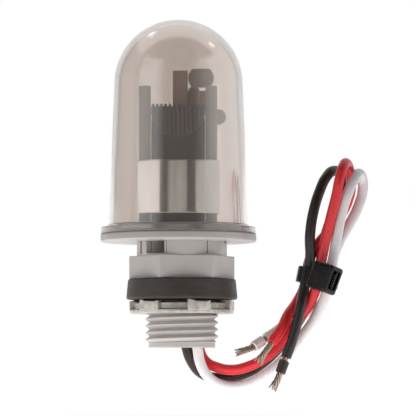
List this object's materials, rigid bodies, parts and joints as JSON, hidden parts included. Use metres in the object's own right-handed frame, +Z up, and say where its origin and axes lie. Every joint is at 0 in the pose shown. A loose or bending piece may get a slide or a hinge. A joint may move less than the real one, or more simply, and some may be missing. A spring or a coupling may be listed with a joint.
{
  "type": "photocell switch",
  "caption": "Outdoor photocell switch: smoked dome over a light-sensing relay, on a grey base with a hexagon and a threaded stem, rubber gasket, zinc locknut and tied leads.",
  "frame": {"origin": "on the stem's axis, in the clamp plane between the gasket and the locknut", "axes": "+Z up the stem towards the dome; -Y towards the front, where the light shield is; +X to the right, where the leads are"},
  "size_m": [0.0778, 0.0446, 0.1069],
  "materials": {
    "smoked_dome": "smoked clear polycarbonate, polished",
    "grey_plastic": "light grey moulding, satin",
    "gasket_rubber": "black rubber, satin",
    "cast_zinc": null,
    "bright_aluminium": "bright rolled sheet",
    "black_plastic": "black moulding, satin",
    "brown_board": "brown laminate strip",
    "cell_coating": "dark resin coating",
    "black_sleeve": "black sleeving",
    "surge_coating": "dark brown resin coating",
    "brass": "bright",
    "bimetal": "rolled strip",
    "silver_contact": "bright contact metal",
    "heater_body": "coated resistor body",
    "insulation_black": "extruded insulation, satin",
    "insulation_white": "extruded insulation, satin",
    "insulation_red": "extruded insulation, satin",
    "tinned_wire": "tinned copper strands",
    "tie_nylon": "black nylon"
  },
  "bodies": {
    "photocell": {"dome_cover": "smoked_dome", "base_plate": "grey_plastic", "stem_fitting": "grey_plastic", "light_shield": "bright_aluminium", "switch_housing": "black_plastic", "light_baffle": "black_plastic", "cell_carrier": "brown_board", "photo_cell": "cell_coating", "cell_sleeve": "black_sleeve", "surge_disc": "surge_coating", "terminal_pins": "brass", "bimetal_blade": "bimetal", "contact_blade": "brass", "contact_rivets": "silver_contact", "heater_resistor": "heater_body", "lead_black": "insulation_black", "lead_white": "insulation_white", "lead_red": "insulation_red", "slug_black": "insulation_black", "slug_white": "insulation_white", "strands_black": "tinned_wire", "strands_white": "tinned_wire", "strands_red": "tinned_wire", "cable_tie": "tie_nylon"},
    "gasket": {"gasket": "gasket_rubber"},
    "locknut": {"locknut": "cast_zinc"}
  },
  "joints": [
    {"name": "locknut_travel", "type": "slide", "parent": "photocell", "child": "gasket", "axis": [0, 0, -1], "range_m": [0, 0.0073]},
    {"name": "locknut_turn", "type": "hinge", "parent": "gasket", "child": "locknut", "pos_m": [0, 0, 0], "axis": [0, 0, -1], "range_deg": [0, 1440]}
  ],
  "couplings": [
    {"joint": "locknut_travel", "follows": "locknut_turn", "m_per_rad": 0.0002887}
  ]
}
